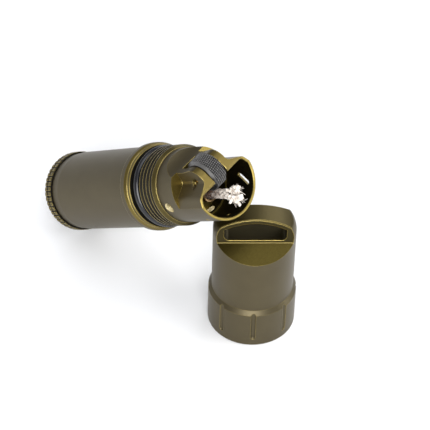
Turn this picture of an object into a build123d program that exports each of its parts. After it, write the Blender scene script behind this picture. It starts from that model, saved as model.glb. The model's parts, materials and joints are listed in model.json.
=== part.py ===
from build123d import *
import math
import os

# A pocket lighter with a wick, turned from aluminium bar, shown with its screw cap taken off.
# The cap stands on its open end, and the lighter leans on it: tail edge on the floor, head on the cap.
# All sizes are in millimetres. Lighter pieces are drawn in the lighter's own frame, with Z along
# the barrel from the tail face, Y towards the thumb side and X along the wheel's axle. Cap pieces are
# drawn with Z up from the open end. Both are then placed on the floor.

# ---- barrel ----
TUBE_R = 11.5              # outside of the tube
TUBE_LENGTH = 39.35        # from the tail end of the tube to the flange
TANK_WALL = 1.6            # wall of the fuel tank
TAPER_LENGTH = 3.5         # light taper at the tail end
TAPER_DEPTH = 0.3
FLANGE_R = 12.5
FLANGE_LENGTH = 1.75
FLANGE_CHAMFER = 0.5
FLANGE_CHAMFER_LENGTH = 0.9
SEAT_R = 11.85             # small step that centres the cap
SEAT_LENGTH = 0.9
SEAT_CHAMFER = 0.25
NECK_LENGTH = 13.25        # from the flange's front to the end of the neck, seat included
NECK_BORE_R = 8.3          # takes the head's plug
THREAD_R = 11.3            # crests of the cap thread
THREAD_DEPTH = 0.75
THREAD_PITCH = 1.6
THREAD_TURNS = 4
NECK_TIP_R = 10.5
NECK_CHAMFER_LENGTH = 1.0

# ---- neck O-ring ----
NECK_RING_R = 11.6         # outside of the seal
NECK_RING_WIRE = 1.0       # radius of its section
NECK_GROOVE_LENGTH = 3.6
NECK_RING_OFFSET = 0.35    # towards the thread, from the groove's middle

# ---- tail cap ----
TAIL_STANDS_PROUD = 0.3    # of the tube
TAIL_LENGTH = 3.1
TAIL_GAP = 0.3             # between the tail cap and the tube
TAIL_CHAMFER = 0.2
TAIL_FLOOR = 2.0           # thickness of the end wall
TAIL_DISH_R = 8.0
TAIL_DISH_DEPTH = 0.4
KNURL_COUNT = 48
KNURL_DEPTH = 0.4
KNURL_HALF_WIDTH = 0.32
SPIGOT_LENGTH = 6.8
SPIGOT_WALL = 2.0
SPIGOT_THREAD_DEPTH = 0.45
SPIGOT_PITCH = 1.0
SPIGOT_TURNS = 4
TAIL_RING_WIRE = 0.6
TAIL_SEAT_LENGTH = 1.3     # counterbore that takes the tail O-ring

# ---- head ----
HEAD_R = 10.26
HEAD_LENGTH = 17.8         # from the neck's end to the rim
CHIMNEY_WALL = 0.76
CHIMNEY_FLOOR = 1.05       # the deck's top, above the neck's end
LEDGE_HEIGHT = 5.25        # ledge in the chimney, above the neck's end
LEDGE_STEP = 0.5
PARTITION_Y = 1.8          # wall between the chimney and the wheel's block
CHIMNEY_CORNER = 1.0       # rounding of its corners
RIM_CHAMFER = 0.2
PLUG_LENGTH = 6.25
PLUG_RING_WIRE = 0.6
PLUG_LEAD = 0.3            # chamfer at the plug's end
PLUG_LAND = 0.9            # from the plug's end to its groove
GROOVE_ROOM = 0.2          # groove width beyond the seal
SCALLOP_HEIGHT = 7.05      # shoulder of the side scallops, above the neck's end
EAR_X = 4.8                # outer face of each ear
WAIST_Y = 4.1
WAIST_FILLET = 1.3
SCALLOP_MID = (9.2, 1.9)
SCALLOP_END = (10.7, -1.6)
SCALLOP_FILLET = 2.2
SLOT_HALF_WIDTH = 2.7      # slot for the wheel
SLOT_GAP = 0.35            # under the wheel
EAR_R = 3.9                # rounding of the ears, about the axle
EAR_FRONT_Y = 2.6          # where the ears' front meets the rim
EAR_ARC_END = 75.5         # end of the ears' rounding, degrees above the axle
SCOOP_START = 2.6          # where the thumb scoop leaves the head's outside, above the neck's end
SCOOP_LOW_Y = 7.4          # lowest line of the scoop
SCOOP_SAG = 0.55

# ---- wheel, axle and flint ----
WHEEL_R = 5.15
WHEEL_HALF_WIDTH = 2.5
WHEEL_Y = 4.0
WHEEL_BELOW_RIM = 4.75     # the axle, below the rim
WHEEL_BEVEL = 0.85
WHEEL_TEETH = 42
TOOTH_DEPTH = 0.28
AXLE_R = 0.9
AXLE_RECESS = 1.0          # how far the axle's ends lie inside the ears' faces
AXLE_COUNTERSINK = 0.3
AXLE_RUNNING = 0.05
FLINT_R = 1.2
FLINT_LENGTH = 5.0
FLINT_TUBE_R = 1.75
FLINT_TUBE_BORE = 1.27
FLINT_TUBE_START = 12.0    # above the tail face
FLINT_TO_WHEEL = 0.05
PLUNGER_LENGTH = 1.5
PLUNGER_STEM_R = 0.45
PLUNGER_STEM = 2.2
SPRING_R = 0.85
SPRING_WIRE = 0.17
SPRING_PITCH = 1.9
SCREW_HEAD_R = 2.2
SCREW_HEAD_LENGTH = 1.5
SCREW_SHANK = 4.0
SCREW_SLOT = 0.6

# ---- wick and packing ----
WICK_R = 1.6
WICK_Y = -3.4
WICK_TIP = (1.7, -5.0)     # the free end leans over to here
WICK_ABOVE_RIM = 0.25
WICK_TUBE_R = 2.3
WICK_TUBE_BORE = 1.75
WICK_TUBE_BELOW_RIM = 10.2
WICK_TUBE_INSIDE = 4.0     # how far it reaches into the deck
WICK_FOOT = 14.3           # lower end, above the tail face
FELT_START = 11.0
FELT_LENGTH = 2.2
WAD_COUNT = 3
WAD_ROUND = 1.6
SOFT_GAP = 0.3             # round soft pieces
FELT_ROUND = 0.4

# ---- vents: height above the neck's end, angle round the axis from X, radius ----
VENT_R = 1.5
VENT_HEIGHT = 2.6
VENT_ANGLES = (180.0, 270.0, 0.0)
PINHOLE_R = 0.6
PINHOLE_HEIGHT = 13.2
PINHOLE_ANGLES = (216.0, 257.0)
SLIT_HEIGHT = 13.3
SLIT_ANGLE = 329.0
SLIT_LENGTH = 5.3
SLIT_WIDTH = 1.15
SLIT_TILT = 35.0

# ---- cap ----
CAP_R = 12.5
CAP_H = 40.5
CAP_UPPER_R = 11.6
GRIP_HEIGHT = 12.0
GRIP_CHAMFER_LENGTH = 1.3
CAP_EDGE = 0.3
SHOULDER_START = 34.2
SHOULDER_END = (9.8, 38.6)
SHOULDER_BULGE = (0.45, 0.2)
CROWN_TAPER = 0.6
FLUTE_COUNT = 8
FLUTE_CUTTER_R = 0.75
FLUTE_DEPTH = 0.45
FLUTE_START = 3.2
CAP_MOUTH_R = 11.65
CAP_MOUTH_DEPTH = 4.2
CAP_BORE_R = 10.6
CAP_THREAD_CLEARANCE = 0.15
CAP_THREAD_DEPTH = 0.6
CAP_INSIDE = 30.4
CAP_ROOF_R = 9.6
STEP_Y = 4.8               # foot of the lug's walls
STEP_Z = 33.3
STEP_SLOPE = 17.4
LUG_TOP_Y = 3.2
ARCH_R = 20.7
LUG_EDGE = 0.25
EYE_HALF_WIDTH = 8.65      # lanyard slot
EYE_FLOOR = 34.1
EYE_ROOF = 1.2             # metal left above it
EYE_CORNER = 1.4

# ---- how the two stand ----
ROLL = 11.0                # of the barrel about its own axis, degrees
CAP_TURN = 46.4            # of the cap about the vertical, degrees
BARREL_Y = -7.89           # barrel's vertical plane, from the cap's axis
REST_FROM_NECK = 4.66      # where the head rests on the lug's end, along the barrel from the neck's end
REST_SIDEWAYS = 3.4        # that place, from the barrel's vertical plane
REST_BELOW_TOP = 2.4       # and below the top of the cap's lug
REST_FROM_AXIS = 9.14      # and from the cap's axis, along the barrel
HEAD_REST_GAP = 0.07       # between the head and the cap that it rests on

RUNNING = 0.1              # clearance of threads and plugs
SEAL_GAP = 0.02            # between a seal and its groove

# ---- sizes and stations along the barrel, worked out from the above ----
TANK_R = TUBE_R - TANK_WALL
TAIL_R = TUBE_R + TAIL_STANDS_PROUD
TUBE_Z = TAIL_LENGTH + TAIL_GAP
FLANGE_Z = TUBE_Z + TUBE_LENGTH
SEAT_Z = FLANGE_Z + FLANGE_LENGTH + FLANGE_CHAMFER_LENGTH
GROOVE_Z = SEAT_Z + SEAT_LENGTH
THREAD_Z = GROOVE_Z + NECK_GROOVE_LENGTH
NECK_Z = FLANGE_Z + FLANGE_LENGTH + NECK_LENGTH
RIM_Z = NECK_Z + HEAD_LENGTH
DECK_Z = NECK_Z + CHIMNEY_FLOOR
LEDGE_Z = NECK_Z + LEDGE_HEIGHT
SCALLOP_Z = NECK_Z + SCALLOP_HEIGHT
WHEEL_Z = RIM_Z - WHEEL_BELOW_RIM
SLOT_Z = WHEEL_Z - WHEEL_R - SLOT_GAP
PLUG_Z = NECK_Z - PLUG_LENGTH
SPIGOT_R = TANK_R - RUNNING
SPIGOT_Z = TAIL_LENGTH + SPIGOT_LENGTH
FLINT_Z = WHEEL_Z - WHEEL_R - FLINT_TO_WHEEL - FLINT_LENGTH
PLUNGER_Z = FLINT_Z - PLUNGER_LENGTH
SCREW_TIP_Z = FLINT_TUBE_START + SCREW_SHANK
WICK_TUBE_Z = RIM_Z - WICK_TUBE_BELOW_RIM
BIG = 40.0                 # size of cutters that only have to be large

# ---- how the barrel leans: tail edge on the floor, head on the cap, worked out from the above ----
TAIL_EDGE_R = TAIL_R - TAIL_CHAMFER
REST_ALONG = NECK_Z + REST_FROM_NECK
REST_DOWN = math.sqrt(HEAD_R ** 2 - REST_SIDEWAYS ** 2) + HEAD_REST_GAP
REST_HEIGHT = CAP_H - REST_BELOW_TOP
REST_SPAN = math.hypot(REST_ALONG, TAIL_EDGE_R - REST_DOWN)
LEAN_RADIANS = math.asin(REST_HEIGHT / REST_SPAN) - math.atan2(TAIL_EDGE_R - REST_DOWN, REST_ALONG)
TAIL_X = -REST_FROM_AXIS - REST_ALONG * math.cos(LEAN_RADIANS) - REST_DOWN * math.sin(LEAN_RADIANS)


def turned(corners):
    """Body of revolution about Z from its (radius, height) corners."""
    return revolve(Plane.XZ * make_face(Polyline(*corners, close=True)), Axis.Z)


def rod(radius, low, high, x=0.0, y=0.0):
    """Upright cylinder between two heights."""
    return Pos(x, y, low) * extrude(Circle(radius), high - low)


def seal(radius, wire, height):
    """O-ring whose outside has the given radius."""
    return revolve(Plane.XZ * Pos(radius - wire, height) * Circle(wire), Axis.Z)


def ring_thread(crest, root, start, pitch, turns):
    """Corners of thread rings, from the start upwards."""
    corners = []
    for turn in range(turns):
        base = start + turn * pitch
        corners += [(root, base + 0.08 * pitch), (crest, base + 0.4 * pitch)]
        corners += [(crest, base + 0.6 * pitch), (root, base + 0.92 * pitch)]
    return corners


def radial_hole(radius, height, angle):
    """Cutter for a round hole that points away from the axis."""
    return Pos(0, 0, height) * Rot(0, 0, angle) * Rot(0, 90, 0) * rod(radius, 0, BIG)


# ---- barrel pieces ----
def body_tube():
    """Fuel tank with its flange, seat, seal groove, thread and open neck."""
    ring_floor = NECK_RING_R - 2 * NECK_RING_WIRE - SEAL_GAP
    thread_end = THREAD_Z + THREAD_TURNS * THREAD_PITCH
    chamfer_z = NECK_Z - NECK_CHAMFER_LENGTH
    outside = [
        (TUBE_R - TAPER_DEPTH, TUBE_Z),
        (TUBE_R, TUBE_Z + TAPER_LENGTH),
        (TUBE_R, FLANGE_Z),
        (FLANGE_R, FLANGE_Z),
        (FLANGE_R, FLANGE_Z + FLANGE_LENGTH),
        (FLANGE_R - FLANGE_CHAMFER, SEAT_Z),
        (SEAT_R, SEAT_Z),
        (SEAT_R, GROOVE_Z - SEAT_CHAMFER),
        (SEAT_R - SEAT_CHAMFER, GROOVE_Z),
        (ring_floor, GROOVE_Z),
        (ring_floor, THREAD_Z),
    ]
    outside += ring_thread(THREAD_R, THREAD_R - THREAD_DEPTH, THREAD_Z, THREAD_PITCH, THREAD_TURNS)
    outside += [(THREAD_R, min(thread_end + 0.2, chamfer_z)), (THREAD_R, chamfer_z), (NECK_TIP_R, NECK_Z)]
    shoulder = abs(TANK_R - NECK_BORE_R)
    seat_r = SPIGOT_R - SPIGOT_THREAD_DEPTH + 2 * TAIL_RING_WIRE + 4 * SEAL_GAP
    inside = [
        (NECK_BORE_R, NECK_Z),
        (NECK_BORE_R, FLANGE_Z + shoulder),
        (TANK_R, FLANGE_Z),
        (TANK_R, TUBE_Z + TAIL_SEAT_LENGTH),
        (seat_r, TUBE_Z + TAIL_SEAT_LENGTH),
        (seat_r, TUBE_Z),
    ]
    return turned(outside + inside)


def neck_o_ring():
    """Seal in the neck's groove, pushed towards the thread."""
    return seal(NECK_RING_R, NECK_RING_WIRE, GROOVE_Z + NECK_GROOVE_LENGTH / 2 + NECK_RING_OFFSET)


def tail_cap():
    """Knurled tail cap with a threaded spigot that closes the tank."""
    root = SPIGOT_R - SPIGOT_THREAD_DEPTH
    thread_z = TAIL_LENGTH + 2 * TAIL_RING_WIRE + 6 * SEAL_GAP
    corners = [
        (0, TAIL_DISH_DEPTH),
        (TAIL_DISH_R, TAIL_DISH_DEPTH),
        (TAIL_DISH_R + TAIL_DISH_DEPTH, 0),
        (TAIL_R - TAIL_CHAMFER, 0),
        (TAIL_R, TAIL_CHAMFER),
        (TAIL_R, TAIL_LENGTH - TAIL_CHAMFER),
        (TAIL_R - TAIL_CHAMFER, TAIL_LENGTH),
        (root, TAIL_LENGTH),
        (root, thread_z),
    ]
    corners += ring_thread(SPIGOT_R, root, thread_z, SPIGOT_PITCH, SPIGOT_TURNS)
    corners += [(root, SPIGOT_Z), (SPIGOT_R - SPIGOT_WALL, SPIGOT_Z)]
    corners += [(SPIGOT_R - SPIGOT_WALL, TAIL_FLOOR), (0, TAIL_FLOOR)]
    tooth = make_face(Polyline(
        (TAIL_R - KNURL_DEPTH, 0),
        (TAIL_R + KNURL_DEPTH, 2 * KNURL_HALF_WIDTH),
        (TAIL_R + KNURL_DEPTH, -2 * KNURL_HALF_WIDTH),
        close=True,
    ))
    groove = Pos(0, 0, -1) * extrude(tooth, TAIL_LENGTH + 1)
    knurl = [Rot(0, 0, 360 * i / KNURL_COUNT) * groove for i in range(KNURL_COUNT)]
    band = turned([
        (TAIL_R - KNURL_DEPTH, TAIL_LENGTH / 2),
        (TAIL_R + KNURL_DEPTH, TAIL_LENGTH / 2 - 2 * KNURL_HALF_WIDTH),
        (TAIL_R + KNURL_DEPTH, TAIL_LENGTH / 2 + 2 * KNURL_HALF_WIDTH),
    ])
    return turned(corners) - knurl - band


def tail_o_ring():
    """Seal between the tail cap's spigot and the tank."""
    inner = SPIGOT_R - SPIGOT_THREAD_DEPTH + SEAL_GAP
    return seal(inner + 2 * TAIL_RING_WIRE, TAIL_RING_WIRE, TAIL_LENGTH + TAIL_RING_WIRE + SEAL_GAP)


# ---- head pieces ----
def scallop_face(side):
    """Outline of the hollow on one side of the head, seen along the barrel."""
    outline = Polyline(
        (EAR_X, BIG),
        (EAR_X, WAIST_Y),
        SCALLOP_MID,
        SCALLOP_END,
        (BIG, SCALLOP_END[1]),
        (BIG, BIG),
        close=True,
    )
    face = make_face(outline)
    waist = face.vertices().sort_by_distance((EAR_X, WAIST_Y, 0))[0]
    face = fillet(waist, WAIST_FILLET)
    brow = face.vertices().sort_by_distance((*SCALLOP_MID, 0))[0]
    face = fillet(brow, SCALLOP_FILLET)
    if side < 0:
        face = mirror(face, Plane.YZ)
    return face


def chimney_section(wall, top_y):
    """Section of the chimney: the head's outline less a wall, cut off at the partition."""
    inner = offset(Circle(HEAD_R) - scallop_face(1) - scallop_face(-1), -wall)
    below = Pos(0, top_y) * Rectangle(BIG, BIG, align=(Align.CENTER, Align.MAX))
    face = inner & below
    corners = face.vertices().filter_by_position(Axis.Y, top_y - 0.01, top_y + 0.01)
    return fillet(corners, CHIMNEY_CORNER)


def ear_waste():
    """Cutter that shapes the thumb scoop and rounds the ears, swept along the axle's direction."""
    scoop_z = NECK_Z + SCOOP_START
    ear_top = (WHEEL_Y + EAR_R, WHEEL_Z)
    low = (SCOOP_LOW_Y, WHEEL_Z - EAR_R)
    middle = ((HEAD_R + low[0]) / 2 - SCOOP_SAG, (scoop_z + low[1]) / 2 - SCOOP_SAG)
    diagonal = EAR_R * math.sin(math.radians(45))
    arc_end = math.radians(EAR_ARC_END)
    brow = (WHEEL_Y + EAR_R * math.cos(arc_end), WHEEL_Z + EAR_R * math.sin(arc_end))
    front = (EAR_FRONT_Y, RIM_Z)
    chest = (WHEEL_Y + diagonal, WHEEL_Z + diagonal)
    outline = ThreePointArc((HEAD_R, scoop_z), middle, low)
    outline += Line(low, ear_top)
    outline += ThreePointArc(ear_top, chest, brow)
    outline += Line(brow, front)
    outline += Polyline(front, (front[0], BIG * 3), (BIG, BIG * 3), (BIG, scoop_z), (HEAD_R, scoop_z))
    face = Plane.YZ * make_face(outline)
    return extrude(face, BIG, both=True)


def angled_slit():
    """Cutter for the slanted vent slit."""
    half = SLIT_LENGTH / 2 - SLIT_WIDTH / 2
    flat = SlotCenterToCenter(2 * half, SLIT_WIDTH)
    cutter = extrude(flat, BIG)
    turn = Rot(0, 0, SLIT_ANGLE) * Rot(0, 90, 0) * Rot(0, 0, SLIT_TILT)
    return Pos(0, 0, NECK_Z + SLIT_HEIGHT) * turn * cutter


def windscreen_head():
    """Windscreen with the chimney in front and the wheel's ears behind, pushed into the neck."""
    plug_r = NECK_BORE_R - RUNNING / 2
    ring_floor = NECK_BORE_R - 2 * PLUG_RING_WIRE - 2 * SEAL_GAP
    groove = 2 * PLUG_RING_WIRE + GROOVE_ROOM
    groove_z = PLUG_Z + PLUG_LAND
    head = turned([
        (0, PLUG_Z),
        (plug_r - PLUG_LEAD, PLUG_Z),
        (plug_r, PLUG_Z + PLUG_LEAD),
        (plug_r, groove_z),
        (ring_floor, groove_z),
        (ring_floor, groove_z + groove),
        (plug_r, groove_z + groove),
        (plug_r, NECK_Z),
        (HEAD_R, NECK_Z),
        (HEAD_R, RIM_Z),
        (0, RIM_Z),
    ])
    head -= Pos(0, 0, LEDGE_Z) * extrude(chimney_section(CHIMNEY_WALL, PARTITION_Y), BIG)
    low_bore = chimney_section(CHIMNEY_WALL + LEDGE_STEP, PARTITION_Y - LEDGE_STEP)
    head -= Pos(0, 0, DECK_Z) * extrude(low_bore, BIG)
    for side in (-1, 1):
        head -= Pos(0, 0, SCALLOP_Z) * extrude(scallop_face(side), BIG)
    rim = head.faces().sort_by(Axis.Z)[-1]
    head = chamfer(rim.edges(), RIM_CHAMFER)
    slot_low = WHEEL_Y - WHEEL_R - SLOT_GAP
    slot = Pos(-SLOT_HALF_WIDTH, slot_low, SLOT_Z) * Box(
        2 * SLOT_HALF_WIDTH, BIG, BIG, align=(Align.MIN, Align.MIN, Align.MIN))
    head -= slot
    head -= ear_waste()
    axle = Pos(0, WHEEL_Y, WHEEL_Z) * Rot(0, 90, 0)
    head -= axle * rod(AXLE_R, -BIG, BIG)
    for side in (-1, 1):
        face_x = side * EAR_X
        sink = Cone(AXLE_R, AXLE_R + 2 * AXLE_COUNTERSINK, 2 * AXLE_COUNTERSINK)
        head -= axle * Pos(0, 0, face_x) * Rot(0, 0 if side > 0 else 180, 0) * sink
    for angle in VENT_ANGLES:
        head -= radial_hole(VENT_R, NECK_Z + VENT_HEIGHT, angle)
    for angle in PINHOLE_ANGLES:
        head -= radial_hole(PINHOLE_R, NECK_Z + PINHOLE_HEIGHT, angle)
    head -= angled_slit()
    head -= rod(FLINT_TUBE_R, PLUG_Z - 1, SLOT_Z + 1, 0, WHEEL_Y)
    head -= rod(WICK_TUBE_R, PLUG_Z - 1, DECK_Z + 1, 0, WICK_Y)
    return head


def head_o_ring():
    """Seal in the head's plug."""
    height = PLUG_Z + 0.9 + PLUG_RING_WIRE + 0.1
    return seal(NECK_BORE_R - SEAL_GAP, PLUG_RING_WIRE, height)


def flint_wheel():
    """Toothed wheel with bevelled sides, bored for the axle."""
    bore = AXLE_R + AXLE_RUNNING
    half = WHEEL_HALF_WIDTH
    wheel = turned([
        (bore, -half),
        (WHEEL_R - WHEEL_BEVEL - TOOTH_DEPTH, -half),
        (WHEEL_R, -half + WHEEL_BEVEL),
        (WHEEL_R, half - WHEEL_BEVEL),
        (WHEEL_R - WHEEL_BEVEL - TOOTH_DEPTH, half),
        (bore, half),
    ])
    notch = make_face(Polyline(
        (WHEEL_R - TOOTH_DEPTH, 0),
        (WHEEL_R + TOOTH_DEPTH, 2 * TOOTH_DEPTH),
        (WHEEL_R + TOOTH_DEPTH, -TOOTH_DEPTH),
        close=True,
    ))
    cutter = Pos(0, 0, -half - 1) * extrude(notch, 2 * half + 2)
    wheel -= [Rot(0, 0, 360 * i / WHEEL_TEETH) * cutter for i in range(WHEEL_TEETH)]
    return Pos(0, WHEEL_Y, WHEEL_Z) * Rot(0, 90, 0) * wheel


def wheel_axle():
    """Pin that the wheel turns on, short of the ears' faces at both ends."""
    half = EAR_X - AXLE_RECESS
    return Pos(0, WHEEL_Y, WHEEL_Z) * Rot(0, 90, 0) * rod(AXLE_R, -half, half)


# ---- flint column ----
def flint_tube():
    """Tube that guides the flint from the screw up to the wheel."""
    tube = rod(FLINT_TUBE_R, FLINT_TUBE_START, SLOT_Z, 0, WHEEL_Y)
    return tube - rod(FLINT_TUBE_BORE, FLINT_TUBE_START, SLOT_Z, 0, WHEEL_Y)


def flint():
    """Flint rod under the wheel."""
    return rod(FLINT_R, FLINT_Z, FLINT_Z + FLINT_LENGTH, 0, WHEEL_Y)


def flint_plunger():
    """Brass cup that pushes the flint, with a stem inside the spring."""
    button = rod(FLINT_R, PLUNGER_Z, FLINT_Z, 0, WHEEL_Y)
    return button + rod(PLUNGER_STEM_R, PLUNGER_Z - PLUNGER_STEM, PLUNGER_Z, 0, WHEEL_Y)


def flint_spring():
    """Spring between the screw and the plunger."""
    low = SCREW_TIP_Z + SPRING_WIRE
    high = PLUNGER_Z - SPRING_WIRE
    line = Helix(SPRING_PITCH, high - low, SPRING_R)
    section = Plane(origin=line @ 0, z_dir=line % 0) * Circle(SPRING_WIRE)
    return Pos(0, WHEEL_Y, low) * sweep(section, path=line)


def flint_screw():
    """Slotted screw that closes the flint tube."""
    head_low = FLINT_TUBE_START - SCREW_HEAD_LENGTH
    screw = rod(SCREW_HEAD_R, head_low, FLINT_TUBE_START, 0, WHEEL_Y)
    screw += rod(FLINT_TUBE_BORE - AXLE_RUNNING, FLINT_TUBE_START, SCREW_TIP_Z, 0, WHEEL_Y)
    slot = Pos(0, WHEEL_Y, head_low) * Box(BIG, SCREW_SLOT, SCREW_HEAD_LENGTH)
    return screw - slot


# ---- wick and packing ----
def wick_tube():
    """Sleeve that holds the wick in the deck."""
    low = DECK_Z - WICK_TUBE_INSIDE
    tube = rod(WICK_TUBE_R, low, WICK_TUBE_Z, 0, WICK_Y)
    return tube - rod(WICK_TUBE_BORE, low, WICK_TUBE_Z, 0, WICK_Y)


def wick():
    """Wick from the packing to its free end, which leans over."""
    bend = Vector(0, WICK_Y, WICK_TUBE_Z)
    tip = Vector(WICK_TIP[0], WICK_TIP[1], RIM_Z + WICK_ABOVE_RIM)
    lean = Plane(origin=bend, z_dir=tip - bend)
    upper = lean * extrude(Circle(WICK_R), (tip - bend).length)
    knee = Pos(*bend) * Sphere(WICK_R)
    return rod(WICK_R, WICK_FOOT, WICK_TUBE_Z, 0, WICK_Y) + knee + upper


def soft_disc(radius, low, high, rounding, flint_clear):
    """Packing disc with holes for the flint tube and the wick."""
    disc = rod(radius, low, high)
    disc = fillet(disc.edges(), rounding)
    disc -= rod(flint_clear, low - 1, high + 1, 0, WHEEL_Y)
    return disc - rod(WICK_R + SOFT_GAP, low - 1, high + 1, 0, WICK_Y)


def felt_pad():
    """Pad that holds the packing in."""
    end = FELT_START + FELT_LENGTH
    return soft_disc(TANK_R - SOFT_GAP, FELT_START, end, FELT_ROUND, SCREW_HEAD_R + SOFT_GAP)


def cotton_wads():
    """Cotton packing: equal wads in the tank and one more in the neck."""
    low = FELT_START + FELT_LENGTH + SOFT_GAP
    step = (FLANGE_Z - low) / WAD_COUNT
    clear = FLINT_TUBE_R + SOFT_GAP
    wads = {}
    for i in range(WAD_COUNT):
        start = low + i * step
        end = start + step - SOFT_GAP
        wads[f"cotton_wad_{i + 1}"] = soft_disc(TANK_R - SOFT_GAP, start, end, WAD_ROUND, clear)
    start = FLANGE_Z + abs(TANK_R - NECK_BORE_R)
    end = PLUG_Z - SOFT_GAP
    wads[f"cotton_wad_{WAD_COUNT + 1}"] = soft_disc(NECK_BORE_R - SOFT_GAP, start, end, WAD_ROUND, clear)
    return wads


# ---- cap ----
def lug_waste(side):
    """Cutter for the sloping step in front of or behind the lug."""
    slope = math.tan(math.radians(STEP_SLOPE))
    wall = (STEP_Y - LUG_TOP_Y) / (CAP_H - STEP_Z)
    outline = Polyline(
        (STEP_Y, STEP_Z),
        (BIG, STEP_Z - (BIG - STEP_Y) * slope),
        (BIG, CAP_H + 2),
        (LUG_TOP_Y - 2 * wall, CAP_H + 2),
        close=True,
    )
    face = make_face(outline)
    foot = face.vertices().sort_by_distance((STEP_Y, STEP_Z, 0))[0]
    face = Plane.YZ * fillet(foot, 0.4)
    if side < 0:
        face = mirror(face, Plane.XZ)
    return extrude(face, BIG, both=True)


def lanyard_eye():
    """Cutter for the slot through the lug; its roof follows the arch."""
    inner_r = ARCH_R - EYE_ROOF
    centre_z = CAP_H - ARCH_R
    edge_z = centre_z + math.sqrt(inner_r**2 - EYE_HALF_WIDTH**2)
    outline = Polyline((-EYE_HALF_WIDTH, edge_z), (-EYE_HALF_WIDTH, EYE_FLOOR), (EYE_HALF_WIDTH, EYE_FLOOR),
                       (EYE_HALF_WIDTH, edge_z))
    outline += ThreePointArc((EYE_HALF_WIDTH, edge_z), (0, centre_z + inner_r), (-EYE_HALF_WIDTH, edge_z))
    face = make_face(outline)
    lower = face.vertices().sort_by(Axis.Y)[:2]
    face = fillet(lower, EYE_CORNER)
    return extrude(Plane.XZ * face, BIG, both=True)


def screw_cap():
    """Cap with a fluted grip, an inner thread, a sloped step each side and a slotted lug."""
    chamfer_top = GRIP_HEIGHT + GRIP_CHAMFER_LENGTH
    bend = (
        (CAP_UPPER_R + SHOULDER_END[0]) / 2 + SHOULDER_BULGE[0],
        (SHOULDER_START + SHOULDER_END[1]) / 2 + SHOULDER_BULGE[1],
    )
    line = Polyline(
        (0, CAP_H),
        (0, 0),
        (CAP_R - CAP_EDGE, 0),
        (CAP_R, CAP_EDGE),
        (CAP_R, GRIP_HEIGHT),
        (CAP_UPPER_R, chamfer_top),
        (CAP_UPPER_R, SHOULDER_START),
    )
    line += ThreePointArc((CAP_UPPER_R, SHOULDER_START), bend, SHOULDER_END)
    line += Polyline(SHOULDER_END, (SHOULDER_END[0] - CROWN_TAPER, CAP_H), (0, CAP_H))
    cap = revolve(Plane.XZ * make_face(line), Axis.Z)
    root = THREAD_R + CAP_THREAD_CLEARANCE
    crest = root - CAP_THREAD_DEPTH
    inside = [(0, -1), (CAP_MOUTH_R, -1), (CAP_MOUTH_R, CAP_MOUTH_DEPTH)]
    inside += ring_thread(root, crest, CAP_MOUTH_DEPTH, THREAD_PITCH, THREAD_TURNS + 1)
    thread_end = CAP_MOUTH_DEPTH + (THREAD_TURNS + 1) * THREAD_PITCH
    inside += [(CAP_BORE_R, thread_end), (CAP_BORE_R, CAP_INSIDE - 1)]
    inside += [(CAP_ROOF_R, CAP_INSIDE), (0, CAP_INSIDE)]
    cap -= turned(inside)
    arch = Pos(0, 0, CAP_H - ARCH_R) * Rot(90, 0, 0) * Cylinder(ARCH_R, BIG)
    block = Box(BIG, BIG, BIG, align=(Align.CENTER, Align.CENTER, Align.MIN))
    above = Pos(0, 0, CAP_H - ARCH_R / 4) * block
    cap -= above - arch
    cap -= lug_waste(1)
    cap -= lug_waste(-1)
    crown = cap.faces().sort_by(Axis.Z)[-1]
    cap = chamfer(crown.edges(), LUG_EDGE)
    cap -= lanyard_eye()
    cutter_x = CAP_R + FLUTE_CUTTER_R - FLUTE_DEPTH
    flute = rod(FLUTE_CUTTER_R, FLUTE_START, BIG, cutter_x, 0)
    flute += Pos(cutter_x, 0, FLUTE_START) * Sphere(FLUTE_CUTTER_R)
    flute &= rod(BIG, 0, chamfer_top + 1)
    cap -= [Rot(0, 0, -90 + 360 * i / FLUTE_COUNT) * flute for i in range(FLUTE_COUNT)]
    return cap


# ---- placing ----
def lighter_place():
    """Where the lighter's own frame stands: tail edge on the floor, leaning towards the cap."""
    tail_z = TAIL_EDGE_R * math.cos(LEAN_RADIANS)
    axis = (math.cos(LEAN_RADIANS), 0, math.sin(LEAN_RADIANS))
    frame = Plane(origin=(TAIL_X, BARREL_Y, tail_z), x_dir=(0, 1, 0), z_dir=axis)
    return frame.location * Rot(0, 0, ROLL)


def main():
    """Places every piece, brings the whole over the origin and writes one file for each."""
    lighter = {
        "body_tube": body_tube(),
        "neck_o_ring": neck_o_ring(),
        "windscreen_head": windscreen_head(),
        "head_o_ring": head_o_ring(),
        "flint_wheel": flint_wheel(),
        "wheel_axle": wheel_axle(),
        "flint_tube": flint_tube(),
        "flint": flint(),
        "flint_plunger": flint_plunger(),
        "flint_spring": flint_spring(),
        "flint_screw": flint_screw(),
        "wick_tube": wick_tube(),
        "wick": wick(),
        "felt_pad": felt_pad(),
        "tail_cap": tail_cap(),
        "tail_o_ring": tail_o_ring(),
    }
    lighter.update(cotton_wads())
    place = lighter_place()
    placed = {name: place * shape for name, shape in lighter.items()}
    placed["screw_cap"] = Rot(0, 0, CAP_TURN) * screw_cap()
    boxes = [shape.bounding_box() for shape in placed.values()]
    middle_x = (min(b.min.X for b in boxes) + max(b.max.X for b in boxes)) / 2
    middle_y = (min(b.min.Y for b in boxes) + max(b.max.Y for b in boxes)) / 2
    os.makedirs("parts", exist_ok=True)
    for name, shape in placed.items():
        export_step(Pos(-middle_x, -middle_y, 0) * shape, f"parts/{name}.step")
    print("cap axis at", round(-middle_x, 3), round(-middle_y, 3))


main()
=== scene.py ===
import json
import logging
import math
import random
from dataclasses import dataclass
from enum import Enum
from functools import cache
from typing import Callable, Sequence

import bmesh
import bpy
from mathutils import Matrix, Vector, noise


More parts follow.
